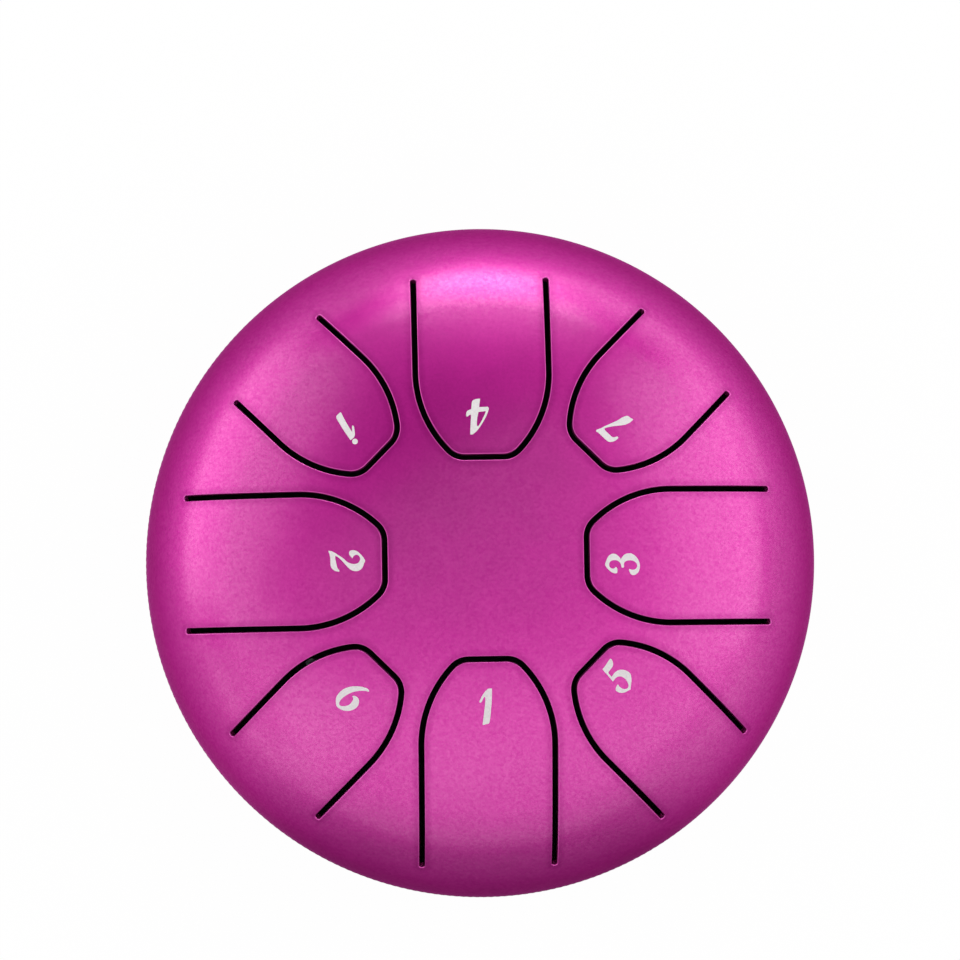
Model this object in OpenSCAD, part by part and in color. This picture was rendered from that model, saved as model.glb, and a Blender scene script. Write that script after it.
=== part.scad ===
/* [Shells] */
// Diameter of the two steel dishes where they meet
body_d = 155; // [140:1:190]
// Thickness of the steel sheet
wall = 1.5; // [1:0.1:2.2]
// Outer radius of the broad crown of each dish
crown_r = 149.5; // [135:0.5:220]
// Outer radius of the knuckle that turns the crown down to the skirt
knuckle_r = 32.5; // [26:0.5:38]
// Height of the straight skirt of each dish at the seam
skirt_h = 2.5; // [1.5:0.5:8]
// Diameter of the sound hole in the bottom dish
sound_hole_d = 45; // [20:1:56]

/* [Seam weld] */
// Depth of the weld's groove into the sheet
weld_depth = 0.9; // [0.4:0.1:0.9]
// Height of the weld bead across the seam
weld_h = 1.6; // [1.2:0.1:2.4]
// How far the bead's crown stands out of the skirt
weld_proud = 0.2; // [0.1:0.05:0.3]

/* [Slots] */
// Width of the slot cut round each tongue
slot_w = 1.3; // [0.8:0.1:2]
// Radius of the long arc from a tongue's side to its tip
shoulder_r = 26; // [22:0.5:32]
// Radius of the small corners of a tongue's tip
corner_r = 5.12; // [3:0.1:7]

/* [Broad tongues] */
// Width of the four broad tongues, between the middles of their slots
broad_w = 30.4; // [26:0.2:32]
// Distance from the drum's axis to the tips of the broad tongues
broad_tip_r = 22.9; // [20:0.1:27]
// Length of a broad tongue's nose, from its tip to its straight sides
broad_nose = 19.52; // [17:0.1:21]

/* [Narrow tongues] */
// Width of the four narrow tongues, between the middles of their slots
narrow_w = 27.2; // [24:0.2:28]
// Distance from the drum's axis to the tips of the narrow tongues
narrow_tip_r = 33.6; // [31:0.1:36]
// Length of a narrow tongue's nose, from its tip to its straight sides
narrow_nose = 18.3; // [16:0.1:20]

/* [Tongue roots] */
// Distance from the drum's edge in to the root of tongue 1, seen from above
tongue_1_inset = 7.4; // [5:0.1:16]
// Distance from the drum's edge in to the root of tongue 2
tongue_2_inset = 9.2; // [5:0.1:16]
// Distance from the drum's edge in to the root of tongue 3
tongue_3_inset = 12; // [5:0.1:16]
// Distance from the drum's edge in to the root of tongue 4
tongue_4_inset = 13.1; // [5:0.1:16]
// Distance from the drum's edge in to the root of tongue 5
tongue_5_inset = 6.7; // [5:0.1:14]
// Distance from the drum's edge in to the root of tongue 6
tongue_6_inset = 8.5; // [5:0.1:14]
// Distance from the drum's edge in to the root of tongue 7
tongue_7_inset = 10.7; // [5:0.1:14]
// Distance from the drum's edge in to the root of the tongue of the high 1
tongue_high_1_inset = 11.3; // [5:0.1:14]
// Gap between a tongue's root and the sheet that it bends from
root_gap = 0.1; // [0.1:0.05:0.3]

/* [Feet] */
// Distance from a foot's outer edge to the edge of the bottom dish's crown
foot_inset = 0.5; // [0.2:0.1:5]
// Diameter of a foot at the shell
foot_base_d = 18; // [15:0.5:22]
// Diameter of a foot at its tip
foot_tip_d = 15; // [13:0.5:16]
// Height of a foot along its own axis
foot_h = 9; // [7:0.5:14]
// Radius of the foot's rounded lower edge
foot_edge_r = 1.5; // [0.5:0.1:2]
// Depth to which the rubber is pressed flat where it rests
foot_squash = 0.5; // [0.2:0.1:0.8]
// Diameter of the recess for the screw head
recess_d = 10.2; // [9.6:0.2:11]
// Rubber left under the washer in the recess
recess_floor = 3.5; // [2:0.5:5]
// Room between the curved sheet and what is screwed against it
seat_gap = 0.05; // [0.02:0.01:0.2]

/* [Screws] */
// Diameter of the screw's shank
screw_d = 4; // [3:0.5:4]
// Length of the screw below its head
screw_len = 12; // [10:1:16]
// Diameter of the pan head
head_d = 8; // [6:0.5:8.5]
// Height of the pan head
head_h = 3.1; // [2:0.1:3.5]
// Height of the straight rim of the pan head
head_rim_h = 1.2; // [0.6:0.1:1.6]
// Width of the arms of the cross recess
cross_w = 1.1; // [0.6:0.1:1.4]
// Width across the cross recess
cross_span = 4.4; // [3:0.1:5]
// Depth of the cross recess
cross_depth = 1.9; // [1:0.1:2.2]
// Room round the screw in the holes of foot, shell and washers
screw_clearance = 0.25; // [0.1:0.05:0.5]
// Room round the screw in the nut's thread
thread_clearance = 0.05; // [0.02:0.01:0.1]
// Diameter of the washers
washer_d = 9; // [8:0.5:9.5]
// Thickness of the washers
washer_t = 0.8; // [0.5:0.1:1]
// Width of the nut across its flats
nut_w = 7; // [5.5:0.5:7]
// Thickness of the nut
nut_t = 3.2; // [2:0.1:3.5]

/* [Hidden] */
$fn = 180;
foot_count = 3;
// Overrun of every cut past the face that it opens
over = 1;
body_r = body_d / 2;

// The knuckle's centre circle, how far the crown's centre lies below it, and the crown's edge
knuckle_x = body_r - knuckle_r;
crown_drop = sqrt(pow(crown_r - knuckle_r, 2) - pow(knuckle_x, 2));
crown_edge_r = knuckle_x * crown_r / (crown_r - knuckle_r);

// The feet stand on the crown and square to it, leaning outwards by this angle
foot_r = crown_edge_r - foot_inset - foot_base_d / 2;
foot_lean = asin(foot_r / crown_r);
foot_tip_r = foot_tip_d / 2;

// Height of the bottom crown's centre over the ground, and of the seam
crown_z = (crown_r + foot_h - foot_edge_r) * cos(foot_lean)
    + (foot_tip_r - foot_edge_r) * sin(foot_lean) + foot_edge_r - foot_squash;
seam_z = crown_z + skirt_h - crown_drop;

// Direction, root's inset and width class of each tongue in the order of the notes
tongues = [
    [270, tongue_1_inset, true],
    [180, tongue_2_inset, true],
    [0, tongue_3_inset, true],
    [90, tongue_4_inset, true],
    [315, tongue_5_inset, false],
    [225, tongue_6_inset, false],
    [45, tongue_7_inset, false],
    [135, tongue_high_1_inset, false],
];
foot_angles = [for (i = [0:foot_count - 1]) 90 + i * 360 / foot_count];

function tip_r(t) = t[2] ? broad_tip_r : narrow_tip_r;
function half_w(t) = (t[2] ? broad_w : narrow_w) / 2;
function nose(t) = t[2] ? broad_nose : narrow_nose;
function root_r(t) = body_r - t[1];
// Slope of the top dish at a distance from the axis, on the knuckle or on the crown
function slope(r) = r > crown_edge_r ? asin((r - knuckle_x) / knuckle_r) : asin(r / crown_r);
function root_z(r) = r > crown_edge_r ? knuckle_r * cos(slope(r)) : crown_r * cos(slope(r)) - crown_drop;

// Half section of the space inside one dish, drawn in by a depth from its outer face
module dish_section(depth) {
    intersection() {
        translate([0, -crown_drop]) circle(crown_r - depth);
        polygon([[0, -crown_drop], [2 * knuckle_x, crown_drop], [0, crown_drop]]);
        square([body_r, body_r]);
    }
    intersection() {
        translate([knuckle_x, 0]) circle(knuckle_r - depth);
        polygon([[knuckle_x, 0], [body_r, 0], [body_r, body_r], [2 * knuckle_x, crown_drop]]);
    }
    translate([0, -skirt_h]) square([body_r - depth, skirt_h]);
}

// The groove for the weld, in section, drawn on past the skirt to twice its depth
module groove_section() {
    far_x = body_r + weld_depth;
    polygon([[body_r - weld_depth, 0], [far_x, weld_h], [far_x, -weld_h]]);
}

// The bead fills the groove and stands out of it in a low arc
module bead_section() {
    bead_r = (pow(weld_h / 2, 2) + pow(weld_proud, 2)) / (2 * weld_proud);
    intersection() {
        translate([body_r + weld_proud - bead_r, 0]) circle(bead_r);
        groove_section();
    }
}

// One dish with its seam at the ground and its crown up
module dish() {
    rotate_extrude() difference() {
        translate([0, skirt_h]) dish_section(0);
        translate([0, skirt_h]) dish_section(wall);
        groove_section();
    }
}

// A tongue seen from above, grown by a margin and open towards the rim
module tongue_outline(t, grow) {
    side_x = tip_r(t) + nose(t);
    side_y = half_w(t) - shoulder_r;
    reach = nose(t) - corner_r;
    rise = sqrt(pow(shoulder_r - corner_r, 2) - pow(reach, 2));
    corner_y = side_y + rise;
    lean = (shoulder_r + grow) / (shoulder_r - corner_r);
    meet_x = side_x - reach * lean;
    intersection() {
        translate([side_x, side_y]) circle(shoulder_r + grow);
        translate([side_x, -side_y]) circle(shoulder_r + grow);
        translate([meet_x, -body_r]) square([side_x - meet_x, body_d]);
    }
    translate([side_x, -half_w(t) - grow]) square([body_r, 2 * (half_w(t) + grow)]);
    translate([tip_r(t) - grow, -corner_y]) square([meet_x - tip_r(t) + grow, 2 * corner_y]);
    for (side = [-1, 1]) translate([tip_r(t) + corner_r, side * corner_y]) circle(corner_r + grow);
}

// The upright block over a tongue's outline, cut off square to the sheet at its root
module tongue_block(t, grow, back) {
    r = root_r(t);
    intersection() {
        linear_extrude(body_r) tongue_outline(t, grow);
        translate([r, 0, skirt_h + root_z(r)]) rotate([0, slope(r), 0])
            translate([back - body_d, -body_r, -body_r]) cube(body_d);
    }
}

module top_shell() {
    color("#b92e92") translate([0, 0, seam_z]) difference() {
        dish();
        for (t = tongues) rotate(t[0]) tongue_block(t, slot_w / 2, root_gap / 2);
    }
}

module tongue(i) {
    t = tongues[i];
    color("#c4399c") translate([0, 0, seam_z]) rotate(t[0]) intersection() {
        rotate(180) dish();
        tongue_block(t, -slot_w / 2, -root_gap / 2);
    }
}

module bottom_shell() {
    color("#8f1f70") translate([0, 0, seam_z]) mirror([0, 0, 1]) difference() {
        dish();
        cylinder(h = body_r, d = sound_hole_d);
        for (a = foot_angles) rotate(a) foot_axis() translate([0, 0, crown_r - wall - over])
            cylinder(h = wall + 2 * over, d = screw_d + 2 * screw_clearance);
    }
}

module seam_weld() {
    color("#a42a82") translate([0, 0, seam_z]) rotate_extrude() bead_section();
}

// Puts a foot's own axis at the dish's outer face, pointing out of it, in the upturned dish
module foot_axis() {
    translate([0, 0, skirt_h - crown_drop]) rotate([0, foot_lean, 0]) children();
}

// Puts a foot and its fasteners in place round the bottom dish, standing on the ground
module at_foot(i) {
    translate([0, 0, seam_z]) mirror([0, 0, 1]) rotate(foot_angles[i]) foot_axis() children();
}

// Half section of a foot on its own axis, hollowed at its top to sit on the dish
module foot_section() {
    tip = crown_r + foot_h;
    difference() {
        union() {
            polygon([[0, crown_r - over], [foot_base_d / 2, crown_r - over], [foot_base_d / 2, crown_r],
                [foot_tip_r, tip - foot_edge_r], [0, tip - foot_edge_r]]);
            square([foot_tip_r - foot_edge_r, tip]);
            translate([foot_tip_r - foot_edge_r, tip - foot_edge_r]) circle(foot_edge_r);
        }
        circle(crown_r + seat_gap);
        square([screw_d / 2 + screw_clearance, tip + over]);
        translate([0, crown_r + recess_floor]) square([recess_d / 2, foot_h]);
    }
}

module foot(i) {
    color("#1d1c1f") difference() {
        at_foot(i) rotate_extrude() foot_section();
        translate([-body_d, -body_d, -body_d]) cube([2 * body_d, 2 * body_d, body_d]);
    }
}

module washer() {
    difference() {
        cylinder(h = washer_t, d = washer_d);
        translate([0, 0, -over]) cylinder(h = washer_t + 2 * over, d = screw_d + 2 * screw_clearance);
    }
}

// The screw's head is domed by an arc from its straight rim to its top
module foot_screw(i) {
    seat = crown_r + recess_floor + washer_t;
    rise = head_h - head_rim_h;
    dome_r = (pow(head_d / 2, 2) + pow(rise, 2)) / (2 * rise);
    color("silver") at_foot(i) difference() {
        union() {
            translate([0, 0, seat - screw_len]) cylinder(h = screw_len, d = screw_d);
            translate([0, 0, seat]) rotate_extrude() intersection() {
                square([head_d / 2, head_h]);
                translate([0, head_h - dome_r]) circle(dome_r);
            }
        }
        for (turn = [0, 90]) rotate(turn) translate([-cross_span / 2, -cross_w / 2, seat + head_h - cross_depth])
            cube([cross_span, cross_w, cross_depth + over]);
    }
}

module foot_washer(i) {
    color("gainsboro") at_foot(i) translate([0, 0, crown_r + recess_floor]) washer();
}

// Inside the dish the washer's rim meets the hollow side of the sheet first
inner_seat = sqrt(pow(crown_r - wall, 2) - pow(washer_d / 2, 2)) - seat_gap;
module inner_washer(i) {
    color("gainsboro") at_foot(i) translate([0, 0, inner_seat - washer_t]) washer();
}

module nut(i) {
    color("silver") at_foot(i) translate([0, 0, inner_seat - washer_t - nut_t]) difference() {
        cylinder(h = nut_t, d = nut_w / cos(30), $fn = 6);
        translate([0, 0, -over]) cylinder(h = nut_t + 2 * over, d = screw_d + 2 * thread_clearance);
    }
}

top_shell();
tongue(0);  // tongue_1
tongue(1);  // tongue_2
tongue(2);  // tongue_3
tongue(3);  // tongue_4
tongue(4);  // tongue_5
tongue(5);  // tongue_6
tongue(6);  // tongue_7
tongue(7);  // tongue_high_1
bottom_shell();
seam_weld();
foot(0);  // foot_1
foot(1);  // foot_2
foot(2);  // foot_3
foot_screw(0);  // foot_screw_1
foot_screw(1);  // foot_screw_2
foot_screw(2);  // foot_screw_3
foot_washer(0);  // foot_washer_1
foot_washer(1);  // foot_washer_2
foot_washer(2);  // foot_washer_3
inner_washer(0);  // inner_washer_1
inner_washer(1);  // inner_washer_2
inner_washer(2);  // inner_washer_3
nut(0);  // nut_1
nut(1);  // nut_2
nut(2);  // nut_3
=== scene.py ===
# Looks of the steel tongue drum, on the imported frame
import functools
import math

import bmesh
import bpy
import numpy as np
from mathutils import Matrix, Vector, geometry


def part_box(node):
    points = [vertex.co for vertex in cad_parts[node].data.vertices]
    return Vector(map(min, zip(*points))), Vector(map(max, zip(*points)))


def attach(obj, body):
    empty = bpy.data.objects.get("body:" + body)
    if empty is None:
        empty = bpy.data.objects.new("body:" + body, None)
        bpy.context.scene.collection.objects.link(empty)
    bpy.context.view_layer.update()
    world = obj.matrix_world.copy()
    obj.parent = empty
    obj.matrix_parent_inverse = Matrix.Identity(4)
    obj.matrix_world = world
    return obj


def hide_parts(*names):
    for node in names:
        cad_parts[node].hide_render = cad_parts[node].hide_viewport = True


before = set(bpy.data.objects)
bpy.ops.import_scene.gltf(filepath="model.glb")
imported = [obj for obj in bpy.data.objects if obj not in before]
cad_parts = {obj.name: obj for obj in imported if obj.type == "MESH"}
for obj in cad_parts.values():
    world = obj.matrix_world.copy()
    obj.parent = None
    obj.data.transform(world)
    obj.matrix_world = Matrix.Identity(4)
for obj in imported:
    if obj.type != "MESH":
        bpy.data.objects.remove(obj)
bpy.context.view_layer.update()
print("frame loaded:", len(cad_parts), "nodes")

mm = 0.001  # the dictionaries below are in millimetres and degrees
joinGap = 0.002  # points of a bent grid that lie nearer than this become one

# Both dishes are pressed in the same die
dish = {
    "bodyRadius": 77.5,
    "sheet": 1.5,
    "crownRadius": 149.5,
    "knuckleRadius": 32.5,
    "skirtHeight": 2.5,
    "seamHeight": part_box("top_shell")[0].z / mm,
    "topHeight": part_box("top_shell")[1].z / mm,
    "meshStep": 1.6,      # distance between mesh points on the sheet
    "rimPoints": 320,
}
knuckleX = dish["bodyRadius"] - dish["knuckleRadius"]
blendAngle = math.asin(knuckleX / (dish["crownRadius"] - dish["knuckleRadius"]))
crownArc = dish["crownRadius"] * blendAngle
knuckleArc = dish["knuckleRadius"] * (math.pi / 2 - blendAngle)
seamArc = crownArc + knuckleArc + dish["skirtHeight"]
crownDrop = (dish["crownRadius"] - dish["knuckleRadius"]) * math.cos(blendAngle)
lowCrownCentre = dish["seamHeight"] - dish["skirtHeight"] + crownDrop


# Small helpers for node trees

geometryIn, vectorIn, materialIn = "NodeSocketGeometry", "NodeSocketVector", "NodeSocketMaterial"


class Wire:
    # a value in a node tree, which sums can be written with
    def __init__(self, tree, socket):
        self.tree = tree
        self.socket = socket

    def __add__(self, other):
        return calc("ADD", self, other)

    def __sub__(self, other):
        return calc("SUBTRACT", self, other)

    def __rsub__(self, other):
        return calc("SUBTRACT", other, self)

    def __mul__(self, other):
        return calc("MULTIPLY", self, other)

    def __truediv__(self, other):
        return calc("DIVIDE", self, other)

    def __rtruediv__(self, other):
        return calc("DIVIDE", other, self)

    __radd__ = __add__
    __rmul__ = __mul__


def plug(value, socket):
    if isinstance(value, Wire):
        value.tree.links.new(value.socket, socket)
    else:
        socket.default_value = value


def addNode(tree, kind, values=None, **settings):
    node = tree.nodes.new(kind)
    count = len(tree.nodes)
    node.location = (-700 + 190 * (count % 12), 500 - 210 * (count // 12))
    for key, value in settings.items():
        setattr(node, key, value)
    for key, value in (values or {}).items():
        plug(value, node.inputs[key])
    return node


def wireFrom(tree, kind, values=None, output=0, **settings):
    # adds a node and gives one of its outputs
    return Wire(tree, addNode(tree, kind, values, **settings).outputs[output])


def treeOf(values):
    return next(value.tree for value in values if isinstance(value, Wire))


def calc(operation, *values):
    return wireFrom(treeOf(values), "ShaderNodeMath", dict(enumerate(values)), operation=operation)


def vectorCalc(operation, *values, output="Vector"):
    keys = (0, "Scale") if operation == "SCALE" else range(len(values))
    return wireFrom(treeOf(values), "ShaderNodeVectorMath", dict(zip(keys, values)), output,
                    operation=operation)


def combine(tree, x=0.0, y=0.0, z=0.0):
    return wireFrom(tree, "ShaderNodeCombineXYZ", {0: x, 1: y, 2: z})


def separate(vector):
    node = addNode(vector.tree, "ShaderNodeSeparateXYZ", {0: vector})
    return [Wire(vector.tree, socket) for socket in node.outputs]


def smoothRange(amount, low, high, first=0.0, last=1.0):
    # goes smoothly from the first value to the last one between two amounts
    values = {"Value": amount, "From Min": low, "From Max": high, "To Min": first, "To Max": last}
    return wireFrom(amount.tree, "ShaderNodeMapRange", values, interpolation_type="SMOOTHSTEP")


def newTree(name, inputs, outputs=None):
    # a geometry tree, or a shader group where outputs are named; an input is a number or a kind of socket
    tree = bpy.data.node_groups.new(name, "ShaderNodeTree" if outputs else "GeometryNodeTree")
    for label, value in inputs.items():
        kind = {float: "NodeSocketFloat", int: "NodeSocketInt"}.get(type(value), value)
        socket = tree.interface.new_socket(name=label, in_out="INPUT", socket_type=kind)
        if kind != value:
            socket.default_value = value
    for label in outputs or ["Geometry"]:
        tree.interface.new_socket(name=label, in_out="OUTPUT",
                                  socket_type="NodeSocketFloat" if outputs else geometryIn)
    start = tree.nodes.new("NodeGroupInput")
    end = tree.nodes.new("NodeGroupOutput")
    start.location = (-900, 0)
    end.location = (1600, 0)
    return tree, {socket.name: Wire(tree, socket) for socket in start.outputs}, end


def placeIn(tree):
    return wireFrom(tree, "GeometryNodeInputPosition")


def endTree(shape, material, end):
    whole = wireFrom(shape.tree, "GeometryNodeRealizeInstances", {0: shape})
    coated = wireFrom(shape.tree, "GeometryNodeSetMaterial", {"Geometry": whole, "Material": material})
    plug(coated, end.inputs["Geometry"])
    return coated


def useTree(obj, tree, **values):
    # a modifier's inputs are set by the identifiers of their sockets
    modifier = obj.modifiers.new(tree.name, "NODES")
    modifier.node_group = tree
    wanted = {key.lower(): value for key, value in values.items()}
    for item in tree.interface.items_tree:
        if item.item_type == "SOCKET" and item.in_out == "INPUT":
            key = item.name.replace(" ", "").lower()
            if key in wanted:
                modifier[item.identifier] = wanted.pop(key)
    if wanted:
        raise ValueError("no such input: " + ", ".join(wanted))


# Small helpers for meshes

def meshFrom(work, name, outward=True):
    if outward:
        bmesh.ops.recalc_face_normals(work, faces=work.faces)
    mesh = bpy.data.meshes.new(name)
    work.to_mesh(mesh)
    work.free()
    return mesh


def turnOutward(mesh):
    work = bmesh.new()
    work.from_mesh(mesh)
    bmesh.ops.recalc_face_normals(work, faces=work.faces)
    work.to_mesh(mesh)
    work.free()


def freeze(obj, outward=True, sharpAngle=None):
    # the evaluated result becomes the object's own plain mesh
    bpy.context.view_layer.update()
    depsgraph = bpy.context.evaluated_depsgraph_get()
    mesh = bpy.data.meshes.new_from_object(obj.evaluated_get(depsgraph))
    obj.modifiers.clear()
    obj.data = mesh
    mesh.name = obj.name
    if outward:
        turnOutward(mesh)
    mesh.shade_smooth()
    if sharpAngle:
        mesh.set_sharp_from_angle(angle=math.radians(sharpAngle))


def addObject(name, mesh):
    obj = bpy.data.objects.new(name, mesh)
    bpy.context.scene.collection.objects.link(obj)
    return obj


def dropAttributes(mesh):
    # what only the pressing needed
    for name in ("flatNormal", "pressedNormal", "insideFace"):
        if name in mesh.attributes:
            mesh.attributes.remove(mesh.attributes[name])


# Shader groups

def noise(vector, size, detail, roughness=0.5):
    values = {"Vector": vector, "Scale": 1.0 / size, "Detail": detail, "Roughness": roughness}
    return wireFrom(vector.tree, "ShaderNodeTexNoise", values)


# noise coarser than the facets breaks up their even pattern
grain = {"facetShare": 0.6, "noiseSize": 1 / 0.6}
clouds = {"detail": 3.0, "roughness": 0.55}


def grainGroup():
    # fine metal flake: tiny facets that take the colour up and down, and tip the surface a little
    inputs = {"Vector": vectorIn, "Flake Size": 0.00022, "Contrast": 0.1}
    tree, given, end = newTree("Flake grain", inputs, ["Shade", "Height"])
    values = {"Vector": given["Vector"], "Scale": 1.0 / given["Flake Size"], "Randomness": 1.0}
    flakes = addNode(tree, "ShaderNodeTexVoronoi", values, feature="F1")
    facet = wireFrom(tree, "ShaderNodeSeparateColor", {0: Wire(tree, flakes.outputs["Color"])})
    coarser = noise(given["Vector"], given["Flake Size"] * grain["noiseSize"], 1.0)
    both = (facet - 0.5) * grain["facetShare"] + (coarser - 0.5)
    plug(both * given["Contrast"] + 1.0, end.inputs["Shade"])
    plug(Wire(tree, flakes.outputs["Distance"]), end.inputs["Height"])
    return tree


def mottleGroup():
    # soft clouds in the coat, a few millimetres across, and its orange peel
    inputs = {"Vector": vectorIn, "Cloud Size": 0.006, "Contrast": 0.06, "Peel Size": 0.0016}
    tree, given, end = newTree("Coat mottle", inputs, ["Shade", "Peel"])
    cloud = noise(given["Vector"], given["Cloud Size"], clouds["detail"], clouds["roughness"])
    plug((cloud - 0.5) * 2.0 * given["Contrast"] + 1.0, end.inputs["Shade"])
    plug(noise(given["Vector"], given["Peel Size"], 2.0), end.inputs["Peel"])
    return tree


def shareGroup():
    # a share at one height, which rises to 1 away from it
    inputs = {"Vector": vectorIn, "Height": 0.0, "Share": 0.7, "Low": 0.006, "High": 0.026}
    tree, given, end = newTree("Share at a height", inputs, ["Value"])
    distance = calc("ABSOLUTE", separate(given["Vector"])[2] - given["Height"])
    plug(smoothRange(distance, given["Low"], given["High"], given["Share"]), end.inputs["Value"])
    return tree


flakeGrain = grainGroup()
coatMottle = mottleGroup()
shareAtHeight = shareGroup()


def useGroup(tree, group, values):
    node = addNode(tree, "ShaderNodeGroup", values, node_tree=group)
    return {socket.name: Wire(tree, socket) for socket in node.outputs}


# Materials

def newMaterial(name, viewColour):
    material = bpy.data.materials.new(name)
    material.use_nodes = True
    material.diffuse_color = viewColour
    tree = material.node_tree
    place = wireFrom(tree, "ShaderNodeTexCoord", output="Object")
    return material, tree, tree.nodes["Principled BSDF"], place


def linear(colour):
    # a colour written as it shows on the screen, 0 to 255
    parts = [part / 255 for part in colour]
    return (*[part / 12.92 if part <= 0.04045 else ((part + 0.055) / 1.055) ** 2.4 for part in parts], 1)


def mixColours(share, first, second, blend="MIX"):
    # sockets 6, 7 and 2 of the node are its two colours and the mixed one
    values = {"Factor": share, 6: first, 7: second}
    return wireFrom(treeOf(values.values()), "ShaderNodeMix", values, 2, data_type="RGBA", blend_type=blend)


def shadedColour(colour, shade):
    # a plain colour made lighter and darker by a shade round 1
    grey = wireFrom(shade.tree, "ShaderNodeCombineColor", {0: shade, 1: shade, 2: shade})
    return mixColours(1.0, colour, grey, "MULTIPLY")


def coatPatterns(tree, place, spec):
    flake = useGroup(tree, flakeGrain, {"Vector": place, "Flake Size": spec["flakeSize"] * mm,
                                        "Contrast": spec["flakeContrast"]})
    mottle = useGroup(tree, coatMottle, {"Vector": place, "Cloud Size": spec["cloudSize"] * mm,
                                         "Contrast": spec["cloudContrast"]})
    return flake, mottle


def dress(shader, colour, mottle, height, spec):
    # what every finish sets on its shader
    plug(colour, shader.inputs["Base Color"])
    shader.inputs["Metallic"].default_value = spec["metallic"]
    plug(mottle["Shade"] * spec["roughness"], shader.inputs["Roughness"])
    bump = wireFrom(height.tree, "ShaderNodeBump", {"Strength": 1.0, "Distance": spec["bumpHeight"] * mm,
                                                    "Height": height}, "Normal")
    plug(bump, shader.inputs["Normal"])


paint = {
    "colour": (196, 27, 150),
    "metallic": 1.0,
    "roughness": 0.42,
    "edgeTint": (165, 0, 155),   # the flakes go dark where they are seen edge on
    "coat": 0.17,
    "coatRoughness": 0.24,
    "coatIor": 4.0,
    # share at a height, and the distances from it between which that share rises to 1
    "sideShade": ("seamHeight", 0.88, 12, 28),  # the paint is darker down the sides: a painted shade for the dark reflections there
    "sideCoat": ("seamHeight", 0.28, 14, 30),   # and the coat drier
    "crownCoat": ("topHeight", 0.625, 0, 14),   # it is glossiest on the shoulder
    "slotShade": 0.17,        # the paint is darker in a narrow band round each slot
    "slotCoat": 0.3,
    "slotEdgeHighlight": (205, 72, 166),  # pale line on the round of a slot's edge: a painted highlight
    "flakeSize": 0.47,
    "flakeContrast": 0.16,
    "flakeCoat": 5.0,         # how much more the flakes show in the coat than in the colour
    "cloudSize": 7.0,
    "cloudContrast": 0.06,
    "bumpHeight": 0.0035,     # of the orange peel
}


def paintMaterial(name, spec):
    base = linear(spec["colour"])
    material, tree, shader, place = newMaterial(name, base)
    flake, mottle = coatPatterns(tree, place, spec)

    def shareAt(height, share, low, high):
        values = {"Vector": place, "Height": dish[height] * mm, "Share": share,
                  "Low": low * mm, "High": high * mm}
        return useGroup(tree, shareAtHeight, values)["Value"]

    # bands round the slots, which the pressed sheets carry as attributes
    nearSlot = wireFrom(tree, "ShaderNodeAttribute", output="Fac", attribute_name="nearSlot")
    slotEdgeHighlight = wireFrom(tree, "ShaderNodeAttribute", output="Fac", attribute_name="slotEdgeHighlight")
    sideShade, sideCoat, crownCoat = [shareAt(*spec[name]) for name in ("sideShade", "sideCoat", "crownCoat")]
    # the colour's shade: flakes, clouds, a painted shade down the sides and a darker band round each slot
    shade = flake["Shade"] * mottle["Shade"] * sideShade * (1.0 - nearSlot * spec["slotShade"])
    # a painted highlight: the round of each slot's edge takes a paler colour
    edged = mixColours(slotEdgeHighlight, shadedColour(base, shade), linear(spec["slotEdgeHighlight"]))
    dress(shader, edged, mottle, mottle["Peel"], spec)
    shader.inputs["Specular Tint"].default_value = linear(spec["edgeTint"])
    # flakes glint in the coat: its share goes up and down with their shade
    glint = (flake["Shade"] - 1.0) * spec["flakeCoat"] + 1.0
    coat = glint * spec["coat"] * sideCoat * crownCoat * (1.0 - nearSlot * spec["slotCoat"])
    plug(coat, shader.inputs["Coat Weight"])
    shader.inputs["Coat Roughness"].default_value = spec["coatRoughness"]
    shader.inputs["Coat IOR"].default_value = spec["coatIor"]
    return material


def plainMaterial(spec):
    base = linear(spec["colour"])
    material, tree, shader, place = newMaterial(spec["name"], base)
    flake, mottle = coatPatterns(tree, place, spec)
    dress(shader, shadedColour(base, flake["Shade"] * mottle["Shade"]), mottle, flake["Height"], spec)
    return material


finishes = {
    "primer": {"name": "Dark primer inside", "colour": (26, 22, 26), "metallic": 0.0, "roughness": 0.75,
               "flakeSize": 0.4, "flakeContrast": 0.3, "cloudSize": 9.0, "cloudContrast": 0.15,
               "bumpHeight": 0.02},
    "rubber": {"name": "Black rubber", "colour": (38, 37, 39), "metallic": 0.0, "roughness": 0.62,
               "flakeSize": 0.35, "flakeContrast": 0.25, "cloudSize": 4.0, "cloudContrast": 0.12,
               "bumpHeight": 0.03},
    "zinc": {"name": "Zinc plated steel", "colour": (196, 198, 202), "metallic": 1.0, "roughness": 0.3,
             "flakeSize": 0.5, "flakeContrast": 0.12, "cloudSize": 2.5, "cloudContrast": 0.12,
             "bumpHeight": 0.004},
    "dulled": {"name": "Steel dulled by primer", "colour": (62, 60, 63), "metallic": 1.0, "roughness": 0.6,
               "flakeSize": 0.5, "flakeContrast": 0.2, "cloudSize": 2.5, "cloudContrast": 0.2,
               "bumpHeight": 0.01},
    "print": {"name": "Pale number print", "colour": (212, 206, 208), "metallic": 0.0, "roughness": 0.55,
              "flakeSize": 0.3, "flakeContrast": 0.14, "cloudSize": 2.0, "cloudContrast": 0.04,
              "bumpHeight": 0.01},
}
magentaPaint = paintMaterial("Magenta metallic paint", paint)
insidePrimer, blackRubber, zincSteel, dulledSteel, numberPrint = map(plainMaterial, finishes.values())
print("materials made")


# Geometry tree that presses a flat blank into the shape of a dish

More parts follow.
